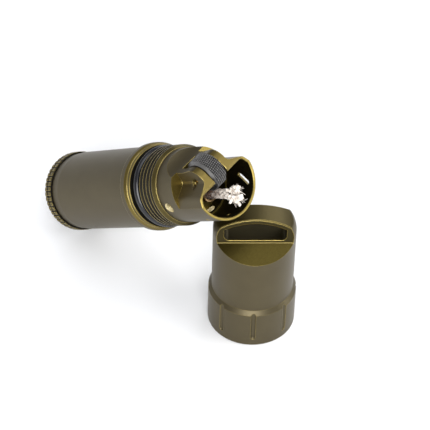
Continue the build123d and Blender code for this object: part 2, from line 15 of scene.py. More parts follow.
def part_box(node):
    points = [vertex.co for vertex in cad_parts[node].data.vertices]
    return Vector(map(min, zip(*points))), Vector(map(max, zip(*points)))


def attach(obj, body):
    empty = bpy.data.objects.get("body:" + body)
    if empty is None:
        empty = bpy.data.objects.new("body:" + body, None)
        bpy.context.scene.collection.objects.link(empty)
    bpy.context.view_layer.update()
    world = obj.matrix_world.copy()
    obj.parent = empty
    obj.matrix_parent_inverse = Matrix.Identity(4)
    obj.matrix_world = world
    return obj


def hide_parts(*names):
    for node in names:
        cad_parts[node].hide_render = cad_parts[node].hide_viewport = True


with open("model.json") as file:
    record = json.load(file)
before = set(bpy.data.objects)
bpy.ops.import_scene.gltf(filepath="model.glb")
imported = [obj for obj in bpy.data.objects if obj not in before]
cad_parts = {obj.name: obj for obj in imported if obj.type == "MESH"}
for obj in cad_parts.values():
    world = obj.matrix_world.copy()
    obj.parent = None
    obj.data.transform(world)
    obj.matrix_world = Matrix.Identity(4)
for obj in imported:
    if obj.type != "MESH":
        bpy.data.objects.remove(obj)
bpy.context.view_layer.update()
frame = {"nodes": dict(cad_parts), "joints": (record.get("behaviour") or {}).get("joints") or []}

logging.basicConfig(level=logging.INFO, format="%(name)s: %(message)s")
LOG = logging.getLogger("lighter")

MM = 0.001
TURN = 2.0 * math.pi
# Keeps a division from meeting zero.
TINY = 1e-6


def linear(code: str) -> tuple[float, float, float, float]:
    """Turns an sRGB hex colour into the linear colour that a shader takes.

    Args:
        code: Six hex digits after a hash sign.

    Returns:
        Linear red, green, blue and an alpha of one.
    """
    parts = [int(code[i : i + 2], 16) / 255 for i in (1, 3, 5)]
    flat = [p / 12.92 if p <= 0.04045 else ((p + 0.055) / 1.055) ** 2.4 for p in parts]
    return (*flat, 1.0)


def add(tree: bpy.types.NodeTree, kind: str, settings: dict | None = None, links: dict | None = None):
    """Adds a node with its settings and links.

    Args:
        tree: Node tree that gets the node.
        kind: Blender's name for the kind of node.
        settings: Properties, or input sockets by name or number, and their values.
        links: Input sockets by name or number, and the output sockets that feed them.

    Returns:
        The new node.
    """
    made = tree.nodes.new(kind)
    for key, value in (settings or {}).items():
        if isinstance(key, int) or key in made.inputs:
            made.inputs[key].default_value = value
        else:
            setattr(made, key, value)
    for key, socket in (links or {}).items():
        tree.links.new(socket, made.inputs[key])
    return made


def blank_material(name: str) -> tuple[bpy.types.Material, bpy.types.NodeTree, bpy.types.Node]:
    """Makes a material that holds only a Principled shader.

    Args:
        name: Name of the material.

    Returns:
        The material, its node tree and its shader.
    """
    material = bpy.data.materials.new(name)
    material.use_nodes = True
    tree = material.node_tree
    tree.nodes.clear()
    shader = add(tree, "ShaderNodeBsdfPrincipled")
    add(tree, "ShaderNodeOutputMaterial", links={"Surface": shader.outputs["BSDF"]})
    return material, tree, shader


def per_metre(size_mm: float) -> float:
    """Noise scale whose features are about size_mm across."""
    return 1.0 / (size_mm * MM)


# ---------------------------------------------------------------- finishes


@dataclass(frozen=True)
class AnodisedAluminium:
    """Bead-blasted, hard-anodised aluminium: a fine grain that spreads highlights, and edges that
    were cut after blasting and took a brighter, yellower colour, painted brighter still as a highlight."""

    name: str
    matte: str
    faded: str
    edge: str
    roughness: float
    edge_roughness: float = 0.28
    edge_width_mm: float = 0.22
    # The real blast pits are finer; they are drawn this coarse so that they show.
    grit_mm: float = 0.16
    relief_mm: float = 0.012
    # Handling leaves cloudy patches.
    cloud_mm: float = 6.0
    metallic: float = 0.85
    # How alike the true and the rounded normal are where an edge starts and where it is full.
    edge_starts: float = 0.985
    edge_full: float = 0.90

    def material(self) -> bpy.types.Material:
        """Builds the material."""
        material, tree, shader = blank_material(self.name)
        shader.inputs["Metallic"].default_value = self.metallic
        place = add(tree, "ShaderNodeTexCoord").outputs["Object"]
        cloud = add(
            tree,
            "ShaderNodeTexNoise",
            {"Scale": per_metre(self.cloud_mm), "Detail": 3.0},
            {"Vector": place},
        )
        body = add(
            tree,
            "ShaderNodeMix",
            {"data_type": "RGBA", 6: linear(self.matte), 7: linear(self.faded)},
            {0: cloud.outputs["Fac"]},
        ).outputs[2]
        # Edges show where the rounded normal leaves the true one. Their colour is partly the brighter
        # cut tone and partly a painted highlight.
        round_normal = add(
            tree, "ShaderNodeBevel", {"samples": 6, "Radius": self.edge_width_mm * MM}
        ).outputs["Normal"]
        true_normal = add(tree, "ShaderNodeNewGeometry").outputs["Normal"]
        alike = add(
            tree, "ShaderNodeVectorMath", {"operation": "DOT_PRODUCT"}, {0: round_normal, 1: true_normal}
        ).outputs["Value"]
        cut_edge_and_highlight = add(
            tree,
            "ShaderNodeMapRange",
            {"From Min": self.edge_starts, "From Max": self.edge_full},
            {"Value": alike},
        ).outputs["Result"]
        colour = add(
            tree, "ShaderNodeMix", {"data_type": "RGBA", 7: linear(self.edge)}, {0: cut_edge_and_highlight, 6: body}
        ).outputs[2]
        tree.links.new(colour, shader.inputs["Base Color"])
        rough = add(
            tree,
            "ShaderNodeMapRange",
            {"To Min": self.roughness, "To Max": self.edge_roughness},
            {"Value": cut_edge_and_highlight},
        ).outputs["Result"]
        tree.links.new(rough, shader.inputs["Roughness"])
        grain = add(
            tree,
            "ShaderNodeTexNoise",
            {"Scale": per_metre(self.grit_mm), "Detail": 2.0},
            {"Vector": place},
        )
        bump = add(
            tree,
            "ShaderNodeBump",
            {"Strength": 0.5, "Distance": self.relief_mm * MM},
            {"Height": grain.outputs["Fac"], "Normal": round_normal},
        )
        tree.links.new(bump.outputs["Normal"], shader.inputs["Normal"])
        return material


@dataclass(frozen=True)
class CutMetal:
    """Metal as the tool left it: even colour with fine upright marks that stretch highlights. A mesh
    attribute darkens places: painted shade in the wheel's cuts and a darker tone on its sides."""

    name: str
    colour: str
    shade: str
    roughness: float
    mark_mm: float
    relief_mm: float
    metallic: float = 1.0
    # Colour that darkened places mix towards: painted shade in the wheel's cuts.
    darkening: str = "#0d0d0d"
    stretch: tuple[float, float, float] = (1.0, 1.0, 0.08)

    def material(self) -> bpy.types.Material:
        """Builds the material."""
        material, tree, shader = blank_material(self.name)
        shader.inputs["Metallic"].default_value = self.metallic
        shader.inputs["Roughness"].default_value = self.roughness
        place = add(tree, "ShaderNodeTexCoord").outputs["Object"]
        drawn = add(tree, "ShaderNodeMapping", {"Scale": self.stretch}, {"Vector": place})
        marks = add(
            tree,
            "ShaderNodeTexNoise",
            {"Scale": per_metre(self.mark_mm), "Detail": 4.0, "Roughness": 0.6},
            {"Vector": drawn.outputs["Vector"]},
        )
        metal = add(
            tree,
            "ShaderNodeMix",
            {"data_type": "RGBA", 6: linear(self.shade), 7: linear(self.colour)},
            {0: marks.outputs["Fac"]},
        ).outputs[2]
        # Painted shade: a mesh attribute darkens the wheel's cuts towards the dark colour.
        stain_and_shade = add(tree, "ShaderNodeAttribute", {"attribute_name": "stain_and_shade"}).outputs["Fac"]
        colour = add(
            tree, "ShaderNodeMix", {"data_type": "RGBA", 7: linear(self.darkening)}, {0: stain_and_shade, 6: metal}
        ).outputs[2]
        tree.links.new(colour, shader.inputs["Base Color"])
        bump = add(
            tree,
            "ShaderNodeBump",
            {"Strength": 0.6, "Distance": self.relief_mm * MM},
            {"Height": marks.outputs["Fac"]},
        )
        tree.links.new(bump.outputs["Normal"], shader.inputs["Normal"])
        return material


@dataclass(frozen=True)
class MouldedRubber:
    """Nitrile rubber out of a polished mould: nearly black with a soft, broad highlight."""

    name: str
    colour: str
    roughness: float = 0.26
    pebble_mm: float = 0.5
    relief_mm: float = 0.01

    def material(self) -> bpy.types.Material:
        """Builds the material."""
        material, tree, shader = blank_material(self.name)
        shader.inputs["Base Color"].default_value = linear(self.colour)
        shader.inputs["Roughness"].default_value = self.roughness
        shader.inputs["IOR"].default_value = 1.52
        place = add(tree, "ShaderNodeTexCoord").outputs["Object"]
        skin = add(tree, "ShaderNodeTexNoise", {"Scale": per_metre(self.pebble_mm)}, {"Vector": place})
        bump = add(
            tree,
            "ShaderNodeBump",
            {"Strength": 0.4, "Distance": self.relief_mm * MM},
            {"Height": skin.outputs["Fac"]},
        )
        tree.links.new(bump.outputs["Normal"], shader.inputs["Normal"])
        return material


@dataclass(frozen=True)
class CottonYarn:
    """Cotton: matte white fibres with a soft sheen, brown where fuel and heat have stained them."""

    name: str
    clean: str
    stained: str
    patch_mm: float
    # Single fibres are far finer; they are drawn this coarse so that they show.
    fibre_mm: float
    relief_mm: float
    unevenness: float = 0.3

    def material(self) -> bpy.types.Material:
        """Builds the material. A mesh attribute says how brown each place is: real stain, and on the
        wick also painted shade where yarns pass under others.
        """
        material, tree, shader = blank_material(self.name)
        shader.inputs["Roughness"].default_value = 0.92
        shader.inputs["Sheen Weight"].default_value = 0.35
        place = add(tree, "ShaderNodeTexCoord").outputs["Object"]
        stain_and_shade = add(tree, "ShaderNodeAttribute", {"attribute_name": "stain_and_shade"}).outputs["Fac"]
        patch = add(
            tree,
            "ShaderNodeTexNoise",
            {"Scale": per_metre(self.patch_mm), "Detail": 4.0},
            {"Vector": place},
        )
        uneven = add(
            tree,
            "ShaderNodeMapRange",
            {"From Min": 0.3, "From Max": 0.7, "To Min": -self.unevenness, "To Max": self.unevenness},
            {"Value": patch.outputs["Fac"]},
        )
        amount = add(
            tree,
            "ShaderNodeMath",
            {"operation": "ADD", "use_clamp": True},
            {0: stain_and_shade, 1: uneven.outputs["Result"]},
        )
        colour = add(
            tree,
            "ShaderNodeMix",
            {"data_type": "RGBA", 6: linear(self.clean), 7: linear(self.stained)},
            {0: amount.outputs["Value"]},
        ).outputs[2]
        tree.links.new(colour, shader.inputs["Base Color"])
        fibre = add(tree, "ShaderNodeTexNoise", {"Scale": per_metre(self.fibre_mm)}, {"Vector": place})
        bump = add(
            tree,
            "ShaderNodeBump",
            {"Strength": 0.8, "Distance": self.relief_mm * MM},
            {"Height": fibre.outputs["Fac"]},
        )
        tree.links.new(bump.outputs["Normal"], shader.inputs["Normal"])
        return material


@dataclass(frozen=True)
class StudioPaper:
    """Seamless background paper: even, matte and pale."""

    name: str = "seamless_paper"
    colour: str = "#f7f8fa"
    fibre_mm: float = 1.2
    relief_mm: float = 0.02

    def material(self) -> bpy.types.Material:
        """Builds the material."""
        material, tree, shader = blank_material(self.name)
        shader.inputs["Base Color"].default_value = linear(self.colour)
        shader.inputs["Roughness"].default_value = 0.75
        place = add(tree, "ShaderNodeTexCoord").outputs["Object"]
        fibre = add(tree, "ShaderNodeTexNoise", {"Scale": per_metre(self.fibre_mm)}, {"Vector": place})
        bump = add(
            tree,
            "ShaderNodeBump",
            {"Strength": 0.05, "Distance": self.relief_mm * MM},
            {"Height": fibre.outputs["Fac"]},
        )
        tree.links.new(bump.outputs["Normal"], shader.inputs["Normal"])
        return material

Finish = AnodisedAluminium | CutMetal | MouldedRubber | CottonYarn

# Blasted skin: matte, greyish olive that fades a little in patches.
OLIVE = AnodisedAluminium("olive_anodised_blasted", "#514936", "#5a523d", "#93824a", 0.43)
# Chimney and inside of the cap: the same coat in painted shade, dark and dull where little light
# reaches.
OLIVE_DARK = AnodisedAluminium(
    "olive_anodised_painted_shade", "#211c0f", "#2a2413", "#6b5d30", 0.55, metallic=0.95
)
# Neck, thread crests and wheel side of the head, turned: smoother, more golden, with pale edges that are
# partly a painted highlight.
OLIVE_TURNED = AnodisedAluminium(
    "olive_anodised_turned", "#675a2f", "#736537", "#b8a462", 0.36, edge_width_mm=0.32
)
# End of the neck, knurl points and top of the lug: dark faces with wide bright edges, partly a painted
# highlight.
OLIVE_CHAMFER = AnodisedAluminium(
    "olive_anodised_chamfer", "#473e21", "#514827", "#c2ad68", 0.36, edge_width_mm=0.4
)
# Broad sides of the lug and walls of its slot: the darkest smooth faces, with clear edges; on the slot's
# walls the darkness is painted shade.
OLIVE_LUG = AnodisedAluminium(
    "olive_anodised_lug", "#2e2812", "#373017", "#ab9650", 0.38, edge_width_mm=0.3
)
# Thread and knurl valleys: painted shade, nearly black and dull.
VALLEY = AnodisedAluminium("olive_anodised_deep_painted_shade", "#0f0d07", "#16130a", "#1d180d", 0.6, metallic=0.7)
# Sloped step of the cap, milled: fine streaks and a warm, half-bright surface.
OLIVE_CUT = CutMetal("olive_anodised_milled", "#5d5229", "#403819", 0.42, 0.35, 0.01)
# Shoulders, rim and lips, milled last: the brightest gold of the coat.
GOLD_CUT = CutMetal("olive_anodised_turned_bright", "#96854a", "#7a6b38", 0.36, 0.4, 0.004)
# Walls of the vents, cut through the coat: a painted glow, pale cream, standing for light caught inside
# the holes.
VENT_PAINTED_GLOW = CutMetal("vent_wall_painted_glow", "#f6ebc6", "#ead9a4", 0.5, 0.4, 0.004, metallic=0.35)
# Hardened steel: neutral grey points over cuts darkened with painted shade.
WHEEL_STEEL = CutMetal("hardened_steel_cut", "#8a8988", "#706f6e", 0.4, 0.3, 0.006)
# Turned brass: warm, pale and shiny.
BRASS = CutMetal("turned_brass", "#dcb98d", "#c29f70", 0.32, 0.3, 0.004)
# Pressed flint: dull dark grey.
FERRO = CutMetal("pressed_ferrocerium", "#5b5a5c", "#434245", 0.6, 0.2, 0.012, metallic=0.8)
# Drawn wire: clean and bright.
SPRING = CutMetal("drawn_spring_wire", "#b8b8b6", "#9c9c9a", 0.28, 0.2, 0.003)
# Moulded rubber: blue-black with a soft shine.
RUBBER = MouldedRubber("moulded_nitrile_rubber", "#0b0d12")
# Braided cotton: white where clean, brown near the tube.
WICK_COTTON = CottonYarn("braided_wick_cotton", "#ebe2d7", "#553a26", 0.9, 0.12, 0.05)
# Cotton wool: off-white and loose.
WAD_COTTON = CottonYarn("loose_cotton_wool", "#f1eee8", "#d8d2c6", 2.0, 0.15, 0.08)
# Pressed felt: even grey.
FELT = CottonYarn("pressed_wool_felt", "#a3a19b", "#77756f", 1.0, 0.12, 0.08)


@cache
def made_up(finish: Finish) -> bpy.types.Material:
    """The material of a finish, built once and shared by every piece that has it."""
    return finish.material()


# ---------------------------------------------------------------- frame and meshes


@dataclass(frozen=True)
class Spot:
    """A face's middle and the way it faces, in the lighter's own frame."""

    own: Vector
    facing: Vector

    @property
    def reach(self) -> float:
        """Distance from the barrel's axis."""
        return math.hypot(self.own.x, self.own.y)

    @property
    def outward(self) -> float:
        """How squarely it faces away from the barrel's axis, 1 at the most."""
        return (self.own.x * self.facing.x + self.own.y * self.facing.y) / max(self.reach, TINY)


@dataclass(frozen=True)
class LighterPlace:
    """Where the leaning lighter stands. Its own frame is in millimetres, with Z along the barrel from
    the tail face, X along the wheel's axle and Y towards the thumb side."""

    matrix: Matrix

    @classmethod
    def from_joints(cls, joints: Sequence[dict]) -> "LighterPlace":
        """Reads the lighter's place from its joints.

        Args:
            joints: The record's joints.

        Returns:
            The lighter's place.
        """
        named = {j["name"]: j for j in joints}
        along = -Vector(named["tail_travel"]["axis"]).normalized()
        axle = -Vector(named["wheel_spin"]["axis"]).normalized()
        turn = Matrix((axle, along.cross(axle), along)).transposed().to_4x4()
        start = Matrix.Translation(Vector(named["tail_turn"]["pos_m"]))
        return cls(start @ turn @ Matrix.Diagonal((MM, MM, MM, 1.0)))

    def out(self, point: Sequence[float]) -> Vector:
        """Turns a point of the lighter's frame into the row frame."""
        return self.matrix @ Vector(point)

    def own(self, point: Vector) -> Vector:
        """Turns a point of the row frame into the lighter's frame."""
        return self.matrix.inverted() @ point

    def spot(self, middle: Vector, normal: Vector) -> Spot:
        """Turns a face's middle and normal into the lighter's frame."""
        return Spot(self.own(middle), (self.matrix.to_3x3().inverted() @ normal).normalized())

    def top(self, node: str) -> Vector:
        """Highest corner of a CAD node's box in the lighter's frame."""
        points = [self.own(v.co) for v in frame["nodes"][node].data.vertices]
        return Vector([max(p[i] for p in points) for i in range(3)])


def mesh_object(name: str, shape: bmesh.types.BMesh, finish: bpy.types.Material) -> bpy.types.Object:
    """Turns a bmesh into a smooth-shaded object.

    Args:
        name: Name of the piece.
        shape: The mesh, in the row frame, freed here.
        finish: Its material.

    Returns:
        The object, linked to the scene.
    """
    mesh = bpy.data.meshes.new(name)
    shape.to_mesh(mesh)
    shape.free()
    mesh.materials.append(finish)
    mesh.polygons.foreach_set("use_smooth", [True] * len(mesh.polygons))
    made = bpy.data.objects.new(name, mesh)
    bpy.context.scene.collection.objects.link(made)
    return made


def put_in_place(made: bpy.types.Object, body: str, node: str) -> None:
    """Puts a built piece in place of its CAD node.

    Args:
        made: The piece.
        body: Moving body that it rides on.
        node: CAD node that it replaces.
    """
    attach(made, body)
    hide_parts(node)
    LOG.info("built %s", made.name)


def tube(
    shape: bmesh.types.BMesh,
    path: Sequence[Vector],
    radii: Sequence[float],
    sides: int,
    stain_and_shade_values: Sequence[float],
) -> None:
    """Adds a round tube with closed ends along a path.

    Args:
        shape: Mesh that gets it.
        path: Points along its middle.
        radii: Its radius at each point.
        sides: Number of sides.
        stain_and_shade_values: Value of the "stain" attribute at each point.
    """
    layer = shape.verts.layers.float.get("stain_and_shade") or shape.verts.layers.float.new("stain_and_shade")
    rings = []
    # Any direction that no path follows will do to start from.
    across = Vector((0.3, 0.8, 0.52))
    for i, point in enumerate(path):
        ahead = path[min(i + 1, len(path) - 1)] - path[max(i - 1, 0)]
        across = (across - ahead * (across.dot(ahead) / max(ahead.length_squared, TINY**3))).normalized()
        other = ahead.normalized().cross(across)
        ring = []
        for k in range(sides):
            angle = TURN * k / sides
            off = across * math.cos(angle) + other * math.sin(angle)
            vert = shape.verts.new(point + off * radii[i])
            vert[layer] = stain_and_shade_values[i]
            ring.append(vert)
        rings.append(ring)
    for low, high in zip(rings, rings[1:]):
        for k in range(sides):
            j = (k + 1) % sides
            shape.faces.new((low[k], low[j], high[j], high[k]))
    shape.faces.new(list(reversed(rings[0])))
    shape.faces.new(rings[-1])


def dress(node: str, picked: Sequence[Finish], choose: Callable[[Vector, Vector], Finish]) -> None:
    """Gives each face of a CAD node one of several finishes.

    Args:
        node: CAD node.
        picked: Finishes to choose from.
        choose: Picks a face's finish from its middle and normal, in the row frame.
    """
    mesh = frame["nodes"][node].data
    mesh.materials.clear()
    for finish in picked:
        mesh.materials.append(made_up(finish))
    for face in mesh.polygons:
        face.material_index = picked.index(choose(face.center, face.normal))
    LOG.info("dressed %s with %d finishes", node, len(picked))


def dress_evenly(node: str, finish: Finish) -> None:
    """Gives a whole CAD node one finish."""
    dress(node, [finish], lambda middle, normal: finish)


# ---------------------------------------------------------------- sub-assemblies


@dataclass
class Barrel:
    """Fuel tank, neck, seals and tail cap. Heights run from the tail face."""

    place: LighterPlace
    neck_start: float = 44.4
    groove_start: float = 46.25
    thread_end: float = 56.5
    crest: float = 11.25
    neck_bore: float = 9.0
    slanted: tuple[float, float] = (0.25, 0.95)
    knurl: tuple[float, float] = (0.3, 3.2)
    knurl_depth: float = 0.12
    knurl_band: float = 1.2

    def build(self) -> None:
        """Dresses the tube, the tail cap and their seals."""
        picked = (OLIVE, OLIVE_TURNED, VALLEY, OLIVE_CHAMFER)
        dress("body_tube", picked, self.tube_face)
        tail_radius = self.place.top("tail_cap").x

        def tail_face(middle: Vector, normal: Vector) -> Finish:
            """Bright points on the knurl and painted shade between them."""
            spot = self.place.spot(middle, normal)
            on_end = spot.reach < tail_radius - self.knurl_band
            if on_end or not self.knurl[0] < spot.own.z < self.knurl[1]:
                return OLIVE
            return VALLEY if spot.reach < tail_radius - self.knurl_depth else OLIVE_CHAMFER

        dress("tail_cap", picked, tail_face)
        for seal in ("neck_o_ring", "head_o_ring", "tail_o_ring"):
            dress_evenly(seal, RUBBER)

    def tube_face(self, middle: Vector, normal: Vector) -> Finish:
        """Picks blasted skin, bright chamfers on the neck, or the thread's crests and its valleys in
        painted shade.
        """
        spot = self.place.spot(middle, normal)
        height = spot.own.z
        if height < self.neck_start or spot.reach < self.neck_bore:
            return OLIVE
        if self.groove_start < height < self.thread_end:
            # Thread valleys get painted shade.
            return VALLEY if spot.reach < self.crest else OLIVE_TURNED
        if not self.slanted[0] < abs(spot.facing.z) < self.slanted[1]:
            return OLIVE
        return OLIVE_CHAMFER if height > self.thread_end else OLIVE_TURNED


@dataclass
class WindscreenHead:
    """Chimney round the wick, with the wheel's ears behind it. Heights run from the tail face."""

    place: LighterPlace
    chimney_mid: tuple[float, float] = (0.0, -4.0)
    partition: float = 1.85
    wall_inside: float = 9.65
    ear_front: float = 2.5
    ear_skin: float = 0.985
    scoop_foot: float = 72.3
    scoop_sideways: float = 0.3
    scoop_backwards: float = 0.2
    scoop_level: float = 0.9
    deck_below_rim: float = 16.9
    deck_foot: float = 0.2
    deck_band: float = 0.5
    rim_band: float = 0.6
    scallop_top: float = 67.0
    scallop_reach: float = 7.65
    sloping: float = 0.25
    vent_above_deck: float = 1.55
    vent_half: float = 1.75
    vent_reach: float = 9.3
    vent_skin: float = 0.7

    def build(self) -> None:
        """Dresses the head: blasted outside, bore in painted shade, bright rim, milled shoulders and
        scoop, vent walls with a painted glow.
        """
        rim = self.place.top("windscreen_head").z
        deck = rim - self.deck_below_rim

        def head_face(middle: Vector, normal: Vector) -> Finish:
            """Picks blasted outside, bore in painted shade, bright rim or milled shoulder."""
            spot = self.place.spot(middle, normal)
            height = spot.own.z
            chimney_side = spot.own.y < self.partition
            inside = spot.reach < self.wall_inside and chimney_side
            if height < deck - self.deck_foot:
                return OLIVE
            # Vent walls get a painted glow.
            if chimney_side and self.on_vent_edge(spot, deck):
                return VENT_PAINTED_GLOW
            if inside and height < deck + self.deck_band:
                return GOLD_CUT
            if self.behind_wheel(spot):
                return OLIVE_TURNED if height > self.scoop_foot else OLIVE
            if abs(spot.facing.z) > self.sloping:
                shoulder = height < self.scallop_top and spot.reach > self.scallop_reach
                on_rim = height > rim - self.rim_band and chimney_side
                return GOLD_CUT if shoulder or on_rim else OLIVE_TURNED
            # The chimney's wall facing the wick gets painted shade.
            return OLIVE_DARK if inside and self.faces_wick(spot) else OLIVE

        picked = (OLIVE, OLIVE_DARK, GOLD_CUT, OLIVE_TURNED, VENT_PAINTED_GLOW)
        dress("windscreen_head", picked, head_face)

    def on_vent_edge(self, spot: Spot, deck: float) -> bool:
        """Whether a face is the cut wall of a vent hole.

        Args:
            spot: The face.
            deck: Height of the chimney's floor.

        Returns:
            True on the hole's wall, and false on the skin round it.
        """
        level = abs(spot.own.z - deck - self.vent_above_deck) < self.vent_half
        return level and spot.reach > self.vent_reach and abs(spot.outward) < self.vent_skin

    def behind_wheel(self, spot: Spot) -> bool:
        """Whether a face belongs to the thumb side's scoop, but isn't a shoulder or the skin."""
        to_thumb = abs(spot.facing.x) < self.scoop_sideways and spot.facing.y > -self.scoop_backwards
        upright = spot.facing.z < self.scoop_level and spot.outward < self.ear_skin
        return spot.own.y > self.ear_front and to_thumb and upright

    def faces_wick(self, spot: Spot) -> bool:
        """Whether a face looks towards the middle of the chimney."""
        away = Vector((spot.own.x - self.chimney_mid[0], spot.own.y - self.chimney_mid[1], 0.0))
        return away.dot(spot.facing) < 0


@dataclass
class FlintWheel:
    """Hardened wheel with a cross-cut face and plain bevels."""

    place: LighterPlace
    centre_y: float = 4.0
    centre_z: float = 70.8
    radius: float = 5.15
    half_width: float = 2.5
    bevel: float = 0.85
    bevel_share: float = 0.75
    bore: float = 0.95
    hub_radius: float = 2.6
    hub_recess: float = 0.25
    hub_slope: float = 0.15
    corner: float = 0.04
    face_edge: float = 0.05
    teeth: int = 54
    rows: int = 6
    depth: float = 0.3
    skew: float = 0.2
    point_width: float = 1.5
    steps: int = 6
    # Painted shade in the cuts, and an even darker tone on the sides.
    darker_tone_on_sides: float = 0.15
    shade_in_cuts: float = 0.95

    def tooth(self, around: float, across: float) -> float:
        """Height of the cross-cut face.

        Args:
            around: Place round the wheel, in teeth.
            across: Place across the face, in rows.

        Returns:
            Height from 0 in the cuts to 1 on the points.
        """
        one = 1.0 - abs((around + across * self.skew) % 1.0 - 0.5) * 2.0
        two = 1.0 - abs((across - around * self.skew) % 1.0 - 0.5) * 2.0
        return min(1.0, self.point_width * min(one, two))

    def side(self, face_half: float) -> list[tuple[float, float, bool]]:
        """Outline of the wheel's left side, from the bore to the cut face.

        Args:
            face_half: Half the width of the cut face.

        Returns:
            Place along the axle, radius and whether it is cut, for each corner.
        """
        edge = self.radius - self.bevel
        return [
            (-self.half_width + self.hub_recess, self.bore, False),
            (-self.half_width + self.hub_recess, self.hub_radius, False),
            (-self.half_width, self.hub_radius + self.hub_slope, False),
            (-self.half_width, edge - 3 * self.corner, False),
            (-self.half_width + self.corner, edge - self.corner, False),
            (-face_half - self.face_edge, self.radius - self.depth * 0.5, False),
        ]

    def build(self) -> None:
        """Builds the wheel and puts it in place of its CAD node."""
        face_half = self.half_width - self.bevel * self.bevel_share
        count = self.teeth * self.steps
        lines = self.rows * self.steps
        left = self.side(face_half)
        face = [(-face_half + 2 * face_half * k / lines, self.radius, True) for k in range(lines + 1)]
        right = [(-x, r, False) for x, r, _ in reversed(left)]
        shape = bmesh.new()
        darkening = shape.verts.layers.float.new("stain_and_shade")
        rings = []
        for x, radius, cut in left + face + right:
            ring = []
            for k in range(count):
                angle = TURN * k / count
                size = radius
                if cut:
                    row = (x + face_half) / (2 * face_half) * self.rows
                    size -= self.depth * (1.0 - self.tooth(k / self.steps, row))
                y = self.centre_y + size * math.cos(angle)
                z = self.centre_z + size * math.sin(angle)
                vert = shape.verts.new(self.place.out((x, y, z)))
                # Painted shade: the deeper a cut, the darker it is; the sides get an even darker tone.
                deep = min(1.0, self.shade_in_cuts * (radius - size) / self.depth)
                vert[darkening] = deep if cut else self.darker_tone_on_sides
                ring.append(vert)
            rings.append(ring)
        rings.append(rings[0])
        for low, high in zip(rings, rings[1:]):
            for k in range(count):
                j = (k + 1) % count
                shape.faces.new((low[k], high[k], high[j], low[j]))
        bmesh.ops.recalc_face_normals(shape, faces=shape.faces)
        made = mesh_object("flint_wheel_cross_cut", shape, made_up(WHEEL_STEEL))
        made.data.polygons.foreach_set("use_smooth", [False] * len(made.data.polygons))
        put_in_place(made, "wheel", "flint_wheel")


@dataclass
class FlintWork:
    """Axle, flint tube, flint, plunger, spring and screw, and the wick's brass tube."""

    def build(self) -> None:
        """Dresses the small parts."""
        for node in ("wheel_axle", "flint_tube", "flint_plunger", "flint_screw", "wick_tube"):
            dress_evenly(node, BRASS)
        dress_evenly("flint", FERRO)
        dress_evenly("flint_spring", SPRING)


